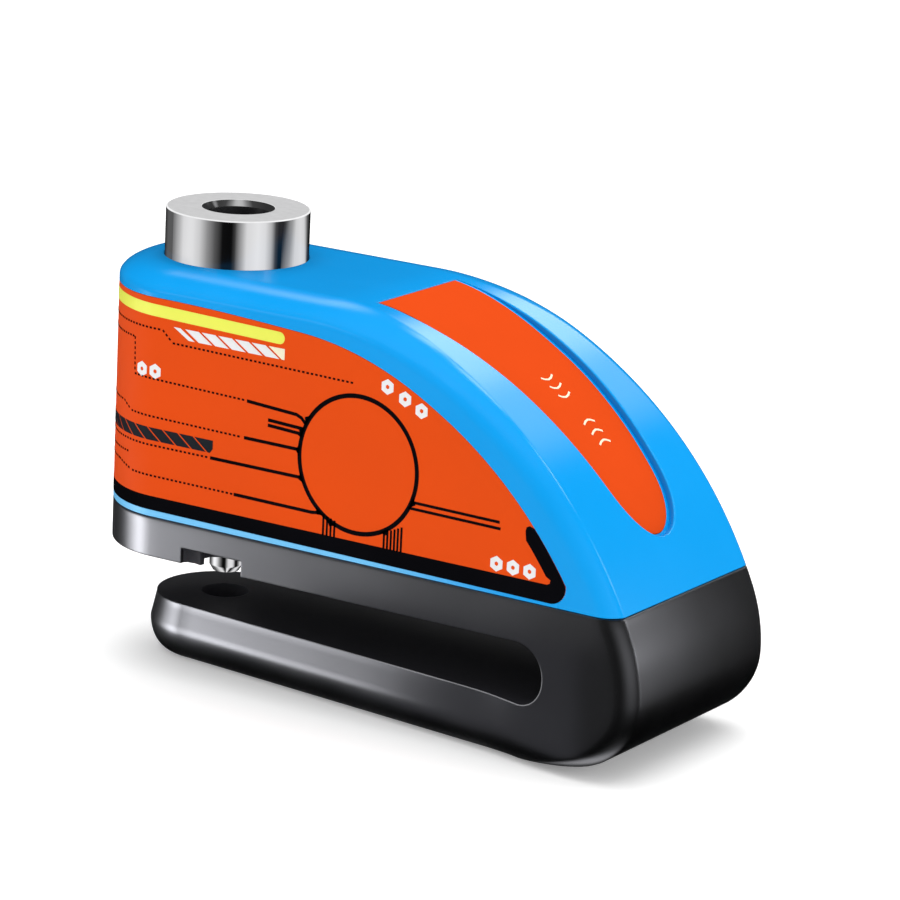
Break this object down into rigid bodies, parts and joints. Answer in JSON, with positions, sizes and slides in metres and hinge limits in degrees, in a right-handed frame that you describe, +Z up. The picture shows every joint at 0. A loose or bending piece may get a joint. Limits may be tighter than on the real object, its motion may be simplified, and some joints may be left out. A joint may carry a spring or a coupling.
{
  "type": "brake disc lock",
  "caption": "Push-down alarm disc lock: hollow blue housing on a slotted cast body; a chromed key cylinder drives a pin across the slot.",
  "frame": {"origin": "centre of the footprint's bounding box, on the plane of the flat underside", "axes": "+X from the lock cylinder towards the nose, +Z up along the pin, the slot opens towards -X and runs through in Y"},
  "size_m": [0.1013, 0.0402, 0.0698],
  "materials": {
    "blue_paint": "gloss paint",
    "gunmetal": "dark metallic coat on a die casting",
    "orange_vinyl": "printed film",
    "orange_inlay": "satin film",
    "chrome": "polished",
    "steel": "machined",
    "brass": "machined",
    "black_plastic": "moulded",
    "rubber": "matt",
    "board_green": "solder mask",
    "cell_nickel": "nickel plate",
    "zinc_screw": "zinc plate"
  },
  "bodies": {
    "housing": {"lower_body": "gunmetal", "upper_housing": "blue_paint", "wrap_label": "orange_vinyl", "spine_inlay": "orange_inlay", "body_gasket": "rubber", "housing_screw_1": "zinc_screw", "housing_screw_2": "zinc_screw", "housing_screw_3": "zinc_screw", "housing_screw_4": "zinc_screw", "guide_sleeve": "brass", "o_ring_seal": "rubber", "stop_screw": "zinc_screw", "return_spring": "steel", "circuit_board": "board_green", "board_screw_1": "zinc_screw", "board_screw_2": "zinc_screw", "controller_chip": "black_plastic", "siren_housing": "black_plastic", "siren_disc": "brass", "vibration_sensor": "steel", "battery_holder": "black_plastic", "battery_cell_1": "cell_nickel", "battery_cell_2": "cell_nickel", "battery_cell_3": "cell_nickel", "battery_contact": "brass", "battery_spring": "steel", "micro_switch": "black_plastic"},
    "plunger": {"plunger_body": "chrome", "lock_pin": "chrome", "core_snap_ring": "steel"},
    "key_core": {"core_drum": "steel", "guard_disc": "black_plastic", "tumbler_disc_1": "brass", "tumbler_disc_2": "brass", "tumbler_disc_3": "brass", "tumbler_disc_4": "brass", "tumbler_disc_5": "brass", "side_bar": "steel", "core_cam": "steel"},
    "latch": {"latch_bolt": "steel"},
    "switch": {"switch_button": "orange_vinyl"}
  },
  "joints": [
    {"name": "plunger_slide", "type": "slide", "parent": "housing", "child": "plunger", "axis": [0, 0, -1], "range_m": [0, 0.0074], "deforming": ["return_spring"]},
    {"name": "key_core_turn", "type": "hinge", "parent": "plunger", "child": "key_core", "pos_m": [-0.03435, 0, 0.055], "axis": [0, 0, -1], "range_deg": [0, 90]},
    {"name": "latch_bolt_slide", "type": "slide", "parent": "plunger", "child": "latch", "axis": [1, 0, 0], "range_m": [0, 0.00142]},
    {"name": "switch_button_slide", "type": "slide", "parent": "housing", "child": "switch", "axis": [1, 0, 0], "range_m": [0, 0.00071]}
  ],
  "couplings": [
    {"joint": "latch_bolt_slide", "follows": "key_core_turn", "m_per_rad": 0.0009},
    {"joint": "switch_button_slide", "follows": "plunger_slide", "ratio": 0.095}
  ]
}
